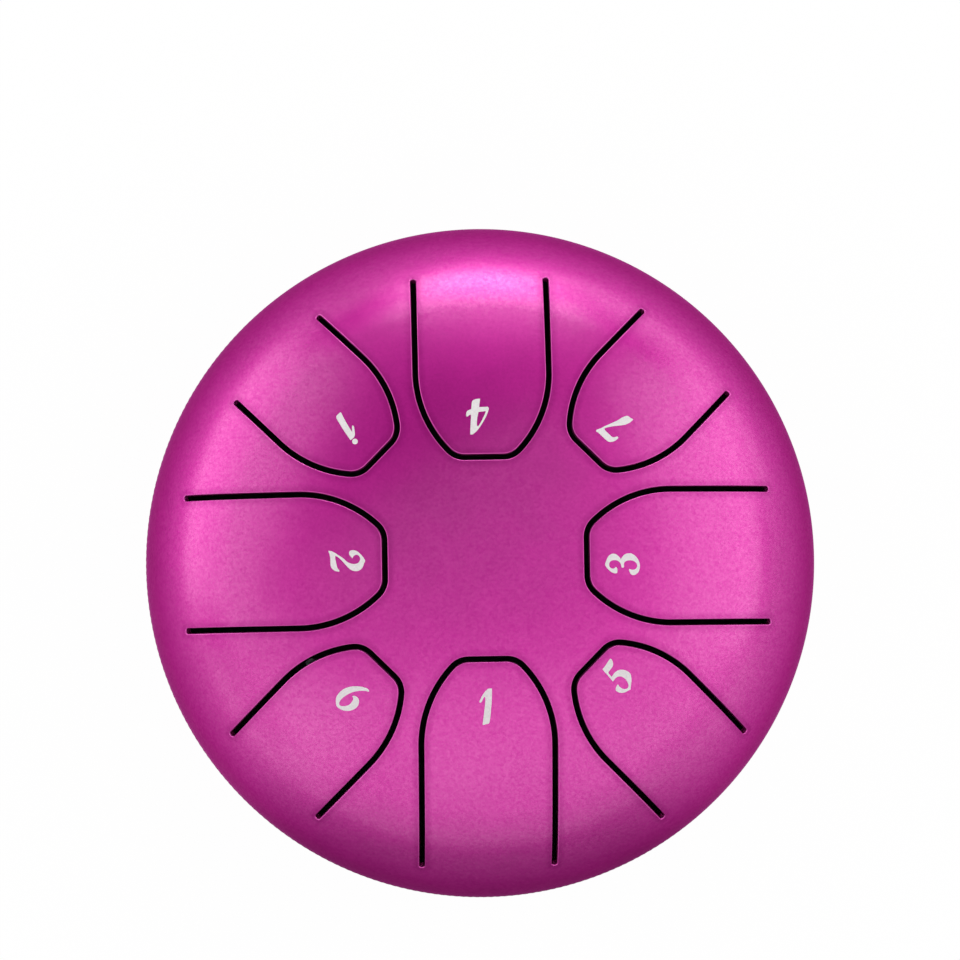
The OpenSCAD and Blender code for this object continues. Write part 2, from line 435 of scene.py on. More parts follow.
def makePressTree():
    tree, given, end = newTree("Press into dish", {
        "Geometry": geometryIn, "Crown Radius": dish["crownRadius"] * mm,
        "Knuckle Radius": dish["knuckleRadius"] * mm, "Knuckle Centre": knuckleX * mm,
        "Skirt Height": dish["skirtHeight"] * mm, "Seam Height": dish["seamHeight"] * mm, "Side": 1.0,
        "Paint": materialIn, "Inside Paint": materialIn})
    crown, knuckle, side = given["Crown Radius"], given["Knuckle Radius"], given["Side"]
    span = crown - knuckle
    blend = calc("ARCSINE", given["Knuckle Centre"] / span)
    crownRun = crown * blend
    knuckleRun = knuckle * (math.pi / 2 - blend)
    # the blank's place: reach from the middle, direction, and height over the outer face
    x, y, height = separate(placeIn(tree))
    flat = combine(tree, x, y)
    reach = vectorCalc("LENGTH", flat, output="Value")
    outward = vectorCalc("NORMALIZE", flat)
    # the sheet's slope grows along the crown, then faster along the knuckle
    crownAngle = calc("MINIMUM", reach, crownRun) / crown
    past = calc("MAXIMUM", reach - crownRun, 0.0)
    slope = crownAngle + calc("MINIMUM", past, knuckleRun) / knuckle
    skirtRun = calc("MAXIMUM", past - knuckleRun, 0.0)
    sine, cosine = calc("SINE", slope), calc("COSINE", slope)
    bend = knuckle + height
    ring = span * calc("SINE", crownAngle) + bend * sine
    rise = span * calc("COSINE", crownAngle) + bend * cosine - span * calc("COSINE", blend)
    level = (rise + given["Skirt Height"] - skirtRun) * side + given["Seam Height"]
    target = vectorCalc("ADD", vectorCalc("SCALE", outward, ring), combine(tree, z=level))
    # the blank's own normals turn with the sheet
    normal = wireFrom(tree, "GeometryNodeInputNamedAttribute", {"Name": "flatNormal"}, "Attribute",
                      data_type="FLOAT_VECTOR")
    upward = combine(tree, z=1.0)
    across = vectorCalc("CROSS_PRODUCT", upward, outward)
    alongPart, acrossPart, upPart = [vectorCalc("DOT_PRODUCT", normal, way, output="Value")
                                     for way in (outward, across, upward)]
    outPart = alongPart * cosine + upPart * sine
    risePart = (upPart * cosine - alongPart * sine) * side
    turned = vectorCalc("ADD", vectorCalc("SCALE", outward, outPart), vectorCalc("SCALE", across, acrossPart))
    turned = vectorCalc("ADD", turned, vectorCalc("SCALE", upward, risePart))
    stored = wireFrom(tree, "GeometryNodeStoreNamedAttribute",
                      {"Geometry": given["Geometry"], "Name": "pressedNormal", "Value": turned},
                      data_type="FLOAT_VECTOR", domain="POINT")
    pressed = wireFrom(tree, "GeometryNodeSetPosition", {"Geometry": stored, "Position": target})
    flipped = wireFrom(tree, "GeometryNodeFlipFaces", {0: pressed, 1: calc("LESS_THAN", side, 0.0)})
    coated = endTree(flipped, given["Paint"], end)
    hollow = wireFrom(tree, "GeometryNodeInputNamedAttribute", {"Name": "insideFace"}, "Attribute",
                      data_type="BOOLEAN")
    lined = wireFrom(tree, "GeometryNodeSetMaterial", {"Geometry": coated, "Selection": hollow,
                                                       "Material": given["Inside Paint"]})
    plug(lined, end.inputs["Geometry"])
    return tree


pressTree = makePressTree()


def reachOf(radius):
    # distance along the sheet to a point at this distance from the axis
    if radius <= dish["crownRadius"] * math.sin(blendAngle):
        return dish["crownRadius"] * math.asin(radius / dish["crownRadius"])
    knuckleAngle = math.asin((radius - knuckleX) / dish["knuckleRadius"]) - blendAngle
    return crownArc + dish["knuckleRadius"] * knuckleAngle


def radiusOf(reach):
    # distance from the axis to a point this far along the sheet
    first = min(reach, crownArc) / dish["crownRadius"]
    slope = first + min(max(reach - crownArc, 0), knuckleArc) / dish["knuckleRadius"]
    span = dish["crownRadius"] - dish["knuckleRadius"]
    return span * math.sin(first) + dish["knuckleRadius"] * math.sin(slope)


def slopeOf(radius):
    # lean of the sheet at a distance from the axis
    if radius <= dish["crownRadius"] * math.sin(blendAngle):
        return math.asin(radius / dish["crownRadius"])
    return math.asin((radius - knuckleX) / dish["knuckleRadius"])


def unroll(points):
    # points seen from above, laid out flat at their distances along the sheet
    flat = []
    for x, y in points:
        radius = math.hypot(x, y)
        share = reachOf(radius) / radius if radius > 1e-9 else 1
        flat.append((x * share, y * share))
    return np.array(flat)


def turnPoints(points, degrees):
    c, s = math.cos(math.radians(degrees)), math.sin(math.radians(degrees))
    return [(x * c - y * s, x * s + y * c) for x, y in points]


def arcPoints(centre, radius, fromAngle, toAngle, steps):
    angles = [fromAngle + (toAngle - fromAngle) * k / steps for k in range(steps + 1)]
    return [(centre[0] + radius * math.cos(angle), centre[1] + radius * math.sin(angle)) for angle in angles]


def linePoints(first, last, steps):
    return [(first[0] + (last[0] - first[0]) * k / steps, first[1] + (last[1] - first[1]) * k / steps)
            for k in range(steps + 1)]


# The slots round the tongues

slots = {
    "width": 1.3,
    "shoulderRadius": 26,
    "cornerRadius": 5.12,
    "edgeRadius": 0.24,    # round of the painted edge
    "innerEdge": 0.12,     # the sharper edge on the inside
    # rows round a cut edge: back and down as shares of its radius, and the tilt of the normal
    "edgeShares": ((1, 0, 0), (0.617, 0.076, 22.5), (0.293, 0.293, 45), (0.076, 0.617, 67.5), (0, 1, 90)),
    "broad": {"width": 30.4, "tip": 22.9, "nose": 19.52},
    "narrow": {"width": 27.2, "tip": 33.6, "nose": 18.3},
    "pointStep": 0.8,
    "band": (0.35, 1.7),   # the painted sheet darkens between these distances from a slot's edge
    "bandRows": (0.5, 1.0, 1.6),
    "shoulderSteps": 26,
    "cornerSteps": 10,
    "capSteps": 10,
    "rootStep": 1.2,
    "rootMargin": 3,       # no part of a tongue lies further past its root than this
}

tongues = [
    {"name": "tongue_1", "direction": 270, "inset": 7.4, "form": "broad", "number": "1"},
    {"name": "tongue_2", "direction": 180, "inset": 9.2, "form": "broad", "number": "2"},
    {"name": "tongue_3", "direction": 0, "inset": 12, "form": "broad", "number": "3"},
    {"name": "tongue_4", "direction": 90, "inset": 13.1, "form": "broad", "number": "4"},
    {"name": "tongue_5", "direction": 315, "inset": 6.7, "form": "narrow", "number": "5"},
    {"name": "tongue_6", "direction": 225, "inset": 8.5, "form": "narrow", "number": "6"},
    {"name": "tongue_7", "direction": 45, "inset": 10.7, "form": "narrow", "number": "7"},
    {"name": "tongue_high_1", "direction": 135, "inset": 11.3, "form": "narrow", "number": "high 1"},
]


def sideOutline(tongue, grow):
    # a tongue's edge from its root, round its tip and back, seen from above and pointing along +x
    form = slots[tongue["form"]]
    shoulder, corner = slots["shoulderRadius"], slots["cornerRadius"]
    half = form["width"] / 2
    sideX = form["tip"] + form["nose"]
    rootX = slotEnd(tongue)
    reach = form["nose"] - corner
    rise = math.sqrt((shoulder - corner) ** 2 - reach ** 2)
    cornerY = half - shoulder + rise
    turn = math.atan2(-rise, -reach)
    straight = max(2, round((rootX - sideX) / slots["pointStep"]))
    points = linePoints((rootX, -half - grow), (sideX, -half - grow), straight)[:-1]
    points += arcPoints((sideX, shoulder - half), shoulder + grow, -math.pi / 2, turn,
                        slots["shoulderSteps"])[:-1]
    points += arcPoints((form["tip"] + corner, -cornerY), corner + grow, turn, -math.pi, slots["cornerSteps"])
    other = [(x, -y) for x, y in reversed(points)]
    tip = linePoints(points[-1], other[0], max(2, round(2 * cornerY / slots["pointStep"])))[1:-1]
    return points + tip + other


def slotEnd(tongue):
    # distance from the axis to the middle of the slot's round ends
    rootRadius = dish["bodyRadius"] - tongue["inset"]
    return rootRadius - slots["width"] / 2 * math.cos(slopeOf(rootRadius))


def slotLoop(tongue, half):
    # closed line at a distance from the middle of the slot, with round ends
    form = slots[tongue["form"]]
    squeeze = math.cos(slopeOf(dish["bodyRadius"] - tongue["inset"]))
    endX = slotEnd(tongue)

    def cap(y):
        ring = arcPoints((0, y), half, math.pi / 2, -math.pi / 2, slots["capSteps"])[1:-1]
        return [(endX + x * squeeze, y) for x, y in ring]

    inner = sideOutline(tongue, -half)[::-1]
    return sideOutline(tongue, half) + cap(form["width"] / 2) + inner + cap(-form["width"] / 2)


def edgeRows(edge):
    # the rows in millimetres, and one more at the inner edge
    rows = [(edge * back, edge * down, tilt) for back, down, tilt in slots["edgeShares"]]
    return rows + [(0, dish["sheet"] - slots["innerEdge"], 90)]


def edgeLoop(pathAt, edge):
    # pathAt gives the closed line, laid out flat, at a distance back from the cut
    rows = edgeRows(edge)
    first, cut = pathAt(rows[0][0]), pathAt(0)
    away = cut - first
    away /= np.linalg.norm(away, axis=1)[:, None]
    lines, normals = [], []
    for back, depth, tilt in rows:
        points = pathAt(back)
        lines.append(np.column_stack([points, np.full(len(points), -depth)]))
        c, s = math.cos(math.radians(tilt)), math.sin(math.radians(tilt))
        normals.append(np.column_stack([away * s, np.full(len(points), c)]))
    return {"start": first, "rows": lines, "normals": normals}


weld = {
    "height": 1.6,
    "proud": 0.19,
    "grooveDepth": 0.9,
    "ripples": 300,
    "rippleShare": 0.16,
    "rippleBow": 1.6,      # how far a ripple lags at the bead's edges, in radians
    "segments": 1200,
    "rows": 11,
    "sharpAngle": 50,
}
rimReach = seamArc - weld["height"] / 2


def directions(count):
    # unit steps from the middle, evenly all round
    angles = np.arange(count) * 2 * math.pi / count
    return np.column_stack([np.cos(angles), np.sin(angles)])


def rimLoop():
    # the dish's lower edge, with its half of the weld's groove
    ring = directions(dish["rimPoints"])
    start = ring * rimReach
    rows = [np.column_stack([start, np.zeros(len(ring))]),
            np.column_stack([ring * seamArc, np.full(len(ring), -weld["grooveDepth"])])]
    flat = np.tile((0.0, 0.0, 1.0), (len(ring), 1))
    return {"start": start, "rows": rows, "normals": [flat, flat],
            "inner": np.column_stack([ring * seamArc, np.full(len(ring), -dish["sheet"])])}


def insidePolygon(points, polygon):
    # True for the points that lie inside the closed line
    inside = np.zeros(len(points), bool)
    x, y = points[:, 0], points[:, 1]
    x1, y1 = polygon[-1]
    for x2, y2 in polygon:
        crosses = (y1 > y) != (y2 > y)
        if y1 != y2:
            inside ^= crosses & (x < (x2 - x1) * (y - y1) / (y2 - y1) + x1)
        x1, y1 = x2, y2
    return inside


blankMesh = {
    "clearance": 0.62,    # free points keep this share of a step away from the lines
    "ringShare": 0.9,     # distance between the rings of free points, in steps
    "fewest": 6,          # points in the smallest ring
    "blockSize": 2000,    # points whose gaps are worked out at once
}


def gapsTo(border, points):
    # each point's distance to the nearest one of the border
    gaps = []
    for block in range(0, len(points), blankMesh["blockSize"]):
        part = points[block:block + blankMesh["blockSize"]]
        gaps.append(np.min(np.sum((part[:, None, :] - border[None, :, :]) ** 2, axis=2), axis=1))
    return np.sqrt(np.concatenate(gaps))


def triangulate(points, edges):
    made = geometry.delaunay_2d_cdt([Vector(p) for p in points], edges, [], 0, 1e-6, True)
    flat = np.array([tuple(p) for p in made[0]])
    triangles = np.array([tuple(face) for face in made[2]])
    return flat, triangles, flat[triangles].mean(axis=1)


def borderEdges(triangles):
    # the edges that belong to one triangle only
    used = {}
    for a, b, c in triangles.tolist():
        for edge in ((a, b), (b, c), (c, a)):
            if edge[::-1] in used:
                del used[edge[::-1]]
            else:
                used[edge] = True
    return list(used)


def closedEdges(base, count):
    return [(base + k, base + (k + 1) % count) for k in range(count)]


def layOut(loops, lines, guides):
    # meshes the flat blank between its loops and cutting lines, with free guide points
    points, edges = [], []
    for loop in loops:
        loop["base"] = len(points)
        edges += closedEdges(len(points), len(loop["start"]))
        points += [tuple(p) for p in loop["start"]]
    for line in lines:
        base = len(points)
        points += [tuple(p) for p in line["points"]]
        loopBase = line["loop"]["base"]
        chain = [loopBase + line["from"], *range(base, base + len(line["points"])), loopBase + line["to"]]
        edges += list(zip(chain, chain[1:]))
    points += [tuple(p) for p in guides]
    field = [(0.0, 0.0)]
    step = dish["meshStep"]
    rings = round(rimReach / (step * blankMesh["ringShare"]))
    for k in range(1, rings):
        reach = rimReach * k / rings
        count = max(blankMesh["fewest"], round(2 * math.pi * radiusOf(reach) / step))
        for j in range(count):
            angle = 2 * math.pi * (j + 0.5 * (k % 2)) / count
            field.append((reach * math.cos(angle), reach * math.sin(angle)))
    field = np.array(field)
    free = field[gapsTo(np.array(points), field) > blankMesh["clearance"] * step]
    points += [tuple(p) for p in free]
    flat, triangles, middles = triangulate(points, edges)
    if len(flat) != len(points):
        raise ValueError("the flat blank's lines cross")
    return flat, triangles, middles


def slotBand(flat, loops):
    # 1 beside a slot, falling to 0 over a narrow band
    start, end = slots["band"]
    share = np.clip((end - gapsTo(np.vstack([loop["start"] for loop in loops]), flat)) / (end - start), 0, 1)
    return share * share * (3 - 2 * share)


def solidFromBlank(name, flat, triangles, loops, near=None):
    # gives part of the flat blank its thickness and its rounded edges
    where = {}
    for loop in loops:
        for k in range(len(loop["start"])):
            where[loop["base"] + k] = (loop, k)
    vertices, normals, bands, index = [], [], [], {}
    band = np.zeros(len(flat)) if near is None else near
    roundRows = range(1, len(slots["edgeShares"]))

    def corner(key, place, normal):
        if key not in index:
            index[key] = len(vertices)
            vertices.append(tuple(v * mm for v in place))
            normals.append(tuple(normal))
            v, row = key
            # each point keeps its nearness to a slot, and a mark where it lies on the round of a slot's edge,
            # for the painted highlight
            bands.append((0.0 if row == "in" else band[v], float(row in roundRows and band[v] > 0)))
        return index[key]

    def outerPoint(v):
        return corner((v, 0), (*flat[v], 0), (0, 0, 1))

    def innerPoint(v):
        loop, k = where.get(v, (None, 0))
        place = loop["inner"][k] if loop and "inner" in loop else (*flat[v], -dish["sheet"])
        return corner((v, "in"), place, (0, 0, -1))

    def rowPoint(v, row):
        loop, k = where[v]
        return corner((v, row), loop["rows"][row][k], loop["normals"][row][k]) if row else outerPoint(v)

    faces, inside = [], []

    def addFace(corners, isInside):
        faces.append(corners)
        inside.append(isInside)

    for a, b, c in triangles.tolist():
        addFace((outerPoint(a), outerPoint(b), outerPoint(c)), False)
        addFace((innerPoint(c), innerPoint(b), innerPoint(a)), True)
    cutEnds = set()
    for a, b in borderEdges(triangles):
        loop, k = where.get(a, (None, 0))
        other, j = where.get(b, (None, 0))
        if loop is not None and loop is other and abs(k - j) in (1, len(loop["start"]) - 1):
            last = len(loop["rows"]) - 1
            for row in range(last):
                quad = (rowPoint(b, row), rowPoint(a, row), rowPoint(a, row + 1), rowPoint(b, row + 1))
                addFace(quad, False)
            addFace((rowPoint(b, last), rowPoint(a, last), innerPoint(a), innerPoint(b)), True)
        else:
            addFace((outerPoint(b), outerPoint(a), innerPoint(a), innerPoint(b)), True)
            cutEnds.update(v for v in (a, b) if v in where)
    for v in cutEnds:
        addFace([rowPoint(v, row) for row in range(len(where[v][0]["rows"]))] + [innerPoint(v)], True)
    mesh = bpy.data.meshes.new(name)
    mesh.from_pydata(vertices, [], faces)
    turnOutward(mesh)
    bands = np.array(bands, np.float32)
    for label, kind, domain, key, values in (
            ("flatNormal", "FLOAT_VECTOR", "POINT", "vector", np.array(normals, np.float32).ravel()),
            ("insideFace", "BOOLEAN", "FACE", "value", np.array(inside, bool)),
            ("nearSlot", "FLOAT", "POINT", "value", bands[:, 0].copy()),
            ("slotEdgeHighlight", "FLOAT", "POINT", "value", bands[:, 1].copy())):
        mesh.attributes.new(label, kind, domain).data.foreach_set(key, values)
    return addObject(name, mesh)


def pressPiece(obj, side):
    useTree(obj, pressTree, side=float(side), paint=magentaPaint, insidePaint=insidePrimer)
    freeze(obj, outward=False)
    mesh = obj.data
    normals = np.zeros(len(mesh.vertices) * 3, np.float32)
    mesh.attributes["pressedNormal"].data.foreach_get("vector", normals)
    mesh.normals_split_custom_set_from_vertices(normals.reshape(-1, 3).tolist())
    dropAttributes(mesh)


def slotPath(tongue, back):
    # the slot's outline on the flat blank, at a distance back from the cut
    return unroll(turnPoints(slotLoop(tongue, slots["width"] / 2 + back), tongue["direction"]))


def makeTopSheet():
    loops, lines, guides = [rimLoop()], [], []
    edge = slots["width"] / 2 + slots["edgeRadius"]
    for tongue in tongues:
        tongue["loop"] = edgeLoop(functools.partial(slotPath, tongue), slots["edgeRadius"])
        loops.append(tongue["loop"])
        for row in slots["bandRows"]:
            guides.extend(slotPath(tongue, slots["edgeRadius"] + row))
        # the root runs between the two straight edges of the tongue, where they end
        count = len(sideOutline(tongue, 0))
        half = slots[tongue["form"]]["width"] / 2 - edge
        ends = (slotEnd(tongue), half), (slotEnd(tongue), -half)
        rootLine = linePoints(*ends, round(2 * half / slots["rootStep"]))[1:-1]
        firstPoint = count + slots["capSteps"] - 1
        tongue["root"] = unroll(turnPoints(rootLine, tongue["direction"]))
        lines.append({"points": tongue["root"], "loop": tongue["loop"], "from": firstPoint,
                      "to": firstPoint + count - 1})
    flat, triangles, middles = layOut(loops, lines, guides)
    owner = np.zeros(len(triangles), int)
    for number, tongue in enumerate(tongues):
        reach = reachOf(dish["bodyRadius"] - tongue["inset"]) + slots["rootMargin"]
        picked = np.flatnonzero(np.linalg.norm(middles, axis=1) < reach)
        owner[picked[insidePolygon(middles[picked], tongue["loop"]["start"])]] = -1
        side = unroll(turnPoints(sideOutline(tongue, -edge), tongue["direction"]))
        outline = np.vstack([side, tongue["root"]])
        owner[picked[insidePolygon(middles[picked], outline)]] = number + 1
    bands = slotBand(flat, loops[1:])
    names = ["top_shell"] + [tongue["name"] for tongue in tongues]
    return {name: solidFromBlank(name + "_dressed", flat, triangles[owner == number], loops, bands)
            for number, name in enumerate(names)}


topPieces = makeTopSheet()
for nodeName, piece in topPieces.items():
    pressPiece(piece, 1)
    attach(piece, "drum" if nodeName == "top_shell" else nodeName)
    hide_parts(nodeName)
    "shell_paint" if nodeName == "top_shell" else "tongue_paint"
    print("pressed", nodeName, len(piece.data.polygons), "faces")


# The bottom dish

bottom = {"soundHole": 45, "holePoints": 160, "holeEdge": 0.6, "screwHole": 4.5, "screwHolePoints": 40,
          "footCount": 3, "firstFoot": 90, "footInset": 0.5, "footBase": 18}
crownEdge = knuckleX * dish["crownRadius"] / (dish["crownRadius"] - dish["knuckleRadius"])
footRadius = crownEdge - bottom["footInset"] - bottom["footBase"] / 2
footLean = math.asin(footRadius / dish["crownRadius"])


def makeBottomSheet():
    def holePath(centre, reach, count, back):
        return centre + directions(count) * (reach + back)

    reach = reachOf(bottom["soundHole"] / 2)
    soundHole = functools.partial(holePath, np.zeros(2), reach, bottom["holePoints"])
    loops = [rimLoop(), edgeLoop(soundHole, bottom["holeEdge"])]
    for k in range(bottom["footCount"]):
        direction = math.radians(bottom["firstFoot"] + 360 * k / bottom["footCount"])
        centre = np.array([math.cos(direction), math.sin(direction)]) * dish["crownRadius"] * footLean
        screwHole = functools.partial(holePath, centre, bottom["screwHole"] / 2, bottom["screwHolePoints"])
        loops.append(edgeLoop(screwHole, slots["innerEdge"]))
    flat, triangles, middles = layOut(loops, [], [])
    keep = np.ones(len(triangles), bool)
    for loop in loops[1:]:
        keep &= ~insidePolygon(middles, loop["start"])
    return solidFromBlank("bottom_shell_dressed", flat, triangles[keep], loops)


bottomPiece = makeBottomSheet()
pressPiece(bottomPiece, -1)
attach(bottomPiece, "drum")
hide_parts("bottom_shell")
print("pressed bottom_shell", len(bottomPiece.data.polygons), "faces")


# The weld bead, laid round the seam in small even ripples

def squareGrid(tree, columns, rows):
    # a grid to be bent, and the places of its points along and across it, from 0 to 1
    grid = wireFrom(tree, "GeometryNodeMeshGrid", {"Size X": 1.0, "Size Y": 1.0, "Vertices X": columns,
                                                   "Vertices Y": rows})
    x, y = separate(placeIn(tree))[:2]
    return grid, x + 0.5, y + 0.5


def bendGrid(grid, radius, turn, level, material, end):
    # the grid's points go round the axis, and its seams are closed
    target = combine(grid.tree, radius * calc("COSINE", turn), radius * calc("SINE", turn), level)
    bent = wireFrom(grid.tree, "GeometryNodeSetPosition", {"Geometry": grid, "Position": target})
    closed = wireFrom(grid.tree, "GeometryNodeMergeByDistance", {"Geometry": bent, "Distance": joinGap * mm})
    endTree(closed, material, end)


def makeWeldTree():
    tree, given, end = newTree("Weld bead", {
        "Geometry": geometryIn, "Body Radius": dish["bodyRadius"] * mm,
        "Seam Height": dish["seamHeight"] * mm, "Half Height": weld["height"] / 2 * mm,
        "Proud": weld["proud"] * mm, "Groove Depth": weld["grooveDepth"] * mm,
        "Ripples": float(weld["ripples"]), "Ripple Share": weld["rippleShare"],
        "Ripple Bow": weld["rippleBow"], "Segments": weld["segments"], "Paint": materialIn})
    grid, along, across = squareGrid(tree, given["Segments"], weld["rows"])
    turn = along * (2 * math.pi)
    # 0 to 0.8 crosses the bead's face, 0.9 is the groove's root, 1 closes the section
    onFace = calc("LESS_THAN", across, 0.85)
    atRoot = (1.0 - onFace) * calc("LESS_THAN", across, 0.95)
    faceLevel = 1.0 - across * 2.5
    level = faceLevel * onFace + (1.0 - onFace - atRoot)
    wave = calc("SINE", turn * given["Ripples"] - faceLevel * faceLevel * given["Ripple Bow"])
    ripple = 1.0 - (wave + 1.0) * given["Ripple Share"]
    bulge = (1.0 - level * level) * ripple * given["Proud"]
    radius = given["Body Radius"] + bulge * onFace - given["Groove Depth"] * atRoot
    bendGrid(grid, radius, turn, level * given["Half Height"] + given["Seam Height"], given["Paint"], end)
    return tree


weldPiece = addObject("seam_weld_dressed", bpy.data.meshes.new("seam_weld_dressed"))
useTree(weldPiece, makeWeldTree(), paint=magentaPaint)
freeze(weldPiece, sharpAngle=weld["sharpAngle"])
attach(weldPiece, "drum")
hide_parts("seam_weld")
print("weld bead", len(weldPiece.data.polygons), "faces")


# Turned parts: a half section is spun round, with a thread where one is asked for

def makeTurnTree():
    inputs = {"Geometry": geometryIn, "Segments": 64, "Thread Pitch": 1.0, "Thread Depth": 0.0,
              "Thread Start": 0.0, "Thread End": 0.0, "Finish": materialIn}
    tree, given, end = newTree("Turn a half section", inputs)
    size = wireFrom(tree, "GeometryNodeAttributeDomainSize", {0: given["Geometry"]}, "Point Count",
                    component="MESH")
    grid, along, turnShare = squareGrid(tree, size, given["Segments"] + 1.0)
    row = calc("ROUND", along * (size - 1.0))
    point = wireFrom(tree, "GeometryNodeSampleIndex", {"Geometry": given["Geometry"], "Value": placeIn(tree),
                                                       "Index": row}, "Value",
                     data_type="FLOAT_VECTOR", domain="POINT")
    radius, level = separate(point)[::2]
    phase = calc("FRACT", level / given["Thread Pitch"] + turnShare)
    ridge = calc("ABSOLUTE", phase * 2.0 - 1.0)
    pastStart = calc("GREATER_THAN", level, given["Thread Start"])
    threaded = pastStart * calc("LESS_THAN", level, given["Thread End"])
    radius = calc("MAXIMUM", radius - ridge * threaded * given["Thread Depth"], 0.0)
    bendGrid(grid, radius, turnShare * (2 * math.pi), level, given["Finish"], end)
    return tree


def makeFootRingTree():
    # copies of one part, standing square on the bottom dish at each of the feet
    inputs = {"Geometry": geometryIn, "Copies": bottom["footCount"],
              "First Direction": math.radians(bottom["firstFoot"]), "Lean": footLean,
              "Crown Centre": lowCrownCentre * mm, "Finish": materialIn}
    tree, given, end = newTree("Set round the feet", inputs)
    points = wireFrom(tree, "GeometryNodePoints", {"Count": given["Copies"],
                                                   "Position": combine(tree, z=given["Crown Centre"])})
    part = wireFrom(tree, "GeometryNodeInputIndex") * (2 * math.pi) / given["Copies"]
    turn = combine(tree, y=math.pi - given["Lean"], z=part + given["First Direction"])
    rotation = wireFrom(tree, "FunctionNodeEulerToRotation", {0: turn})
    copies = wireFrom(tree, "GeometryNodeInstanceOnPoints", {"Points": points, "Instance": given["Geometry"],
                                                             "Rotation": rotation})
    whole = wireFrom(tree, "GeometryNodeRealizeInstances", {0: copies})
    # the ground presses the rubber flat
    x, y, z = separate(placeIn(tree))
    above = combine(tree, x, y, calc("MAXIMUM", z, 0.0))
    stood = wireFrom(tree, "GeometryNodeSetPosition", {"Geometry": whole, "Position": above})
    endTree(stood, given["Finish"], end)
    return tree


turnTree = makeTurnTree()
footRingTree = makeFootRingTree()


def sectionObject(name, points):
    mesh = bpy.data.meshes.new(name)
    edges = [(k, k + 1) for k in range(len(points) - 1)]
    mesh.from_pydata([(x * mm, 0, z * mm) for x, z in points], edges, [])
    return addObject(name, mesh)


def finishRing(piece, prefix, finish, sharpAngle):
    # sets a part at every foot and hands it over as that part's nodes
    useTree(piece, footRingTree, finish=finish)
    freeze(piece, sharpAngle=sharpAngle)
    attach(piece, "drum")
    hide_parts(*[prefix + "_" + str(k + 1) for k in range(bottom["footCount"])])
    print(prefix, len(piece.data.polygons), "faces")


foot = {"height": 9, "tipDiameter": 15, "edgeRadius": 1.5, "edgeStart": 0.08, "baseEdge": 0.15,
        "baseRise": 0.1, "recess": 10.2, "recessEdge": 0.4, "lipDepth": 2, "recessFloor": 3.5,
        "floorEdge": 0.2, "hole": 4.5, "holeEdge": 0.1, "seatGap": 0.05, "seatSteps": 8,
        "sideShares": (0.06, 0.2, 0.5, 0.8, 0.97), "edgeSteps": 10, "lipSteps": 6,
        "segments": 96, "sharpAngle": 35}


def footSection():
    crown = dish["crownRadius"]
    seat = crown + foot["seatGap"]
    tip = crown + foot["height"]
    floor = crown + foot["recessFloor"]
    base, tipRadius = bottom["footBase"] / 2, foot["tipDiameter"] / 2
    edge, hole, recess, lip = foot["edgeRadius"], foot["hole"] / 2, foot["recess"] / 2, foot["recessEdge"]
    reach = base - foot["baseEdge"] - hole
    across = [hole + reach * k / foot["seatSteps"] for k in range(foot["seatSteps"] + 1)]
    points = [(x, math.sqrt(seat ** 2 - x ** 2)) for x in across]
    points.append((base - foot["baseEdge"] / 5, crown + foot["baseRise"]))
    drop = foot["height"] - edge
    points += [(base + (tipRadius - base) * share, crown + drop * share) for share in foot["sideShares"]]
    points += arcPoints((tipRadius - edge, tip - edge), edge, foot["edgeStart"], math.pi / 2,
                        foot["edgeSteps"])
    points += arcPoints((recess + lip, tip - lip), lip, math.pi / 2, math.pi, foot["lipSteps"])
    points += [(recess, tip - foot["lipDepth"]), (recess, floor + foot["floorEdge"])]
    points += [(recess - foot["floorEdge"], floor), (hole + foot["holeEdge"], floor)]
    return points + [(hole, floor - foot["holeEdge"]), points[0]]


footPiece = sectionObject("feet_dressed", footSection())
useTree(footPiece, turnTree, segments=foot["segments"], finish=blackRubber)
finishRing(footPiece, "foot", blackRubber, foot["sharpAngle"])


washer = {"diameter": 9, "thickness": 0.8, "hole": 4.5, "edge": 0.12, "segments": 72, "sharpAngle": 50}
innerRadius = dish["crownRadius"] - dish["sheet"]
innerSeat = math.sqrt(innerRadius ** 2 - (washer["diameter"] / 2) ** 2) - foot["seatGap"]
footSeat = dish["crownRadius"] + foot["recessFloor"]


def washerSection(level):
    outer, inner, edge = washer["diameter"] / 2, washer["hole"] / 2, washer["edge"]
    top = level + washer["thickness"]
    bevel = edge * 0.3
    return [(inner, level + edge), (inner + edge, level), (outer - edge, level),
            (outer - bevel, level + bevel), (outer, level + edge), (outer, top - edge),
            (outer - bevel, top - bevel), (outer - edge, top), (inner + edge, top), (inner, top - edge),
            (inner, level + edge)]


for prefix, level, steel in (("foot_washer", footSeat, zincSteel),
                             ("inner_washer", innerSeat - washer["thickness"], dulledSteel)):
    washerPiece = sectionObject(prefix + "s_dressed", washerSection(level))
    useTree(washerPiece, turnTree, segments=washer["segments"], finish=steel)
    finishRing(washerPiece, prefix, steel, washer["sharpAngle"])


screw = {"diameter": 4, "length": 12, "pitch": 0.7, "threadDepth": 0.36, "rowsPerPitch": 8,
         "pointShare": 0.75, "pointLength": 0.5, "neck": 0.2, "threadFrom": 0.4, "threadTo": 0.6,
         "headDiameter": 8, "headHeight": 3.1, "rimHeight": 1.2, "rimEdge": 0.15, "domeSteps": 14,
         "segments": 60, "sharpAngle": 40}
screwSeat = footSeat + washer["thickness"]
screwEnd = screwSeat - screw["length"]
screwTop = screwSeat + screw["headHeight"]


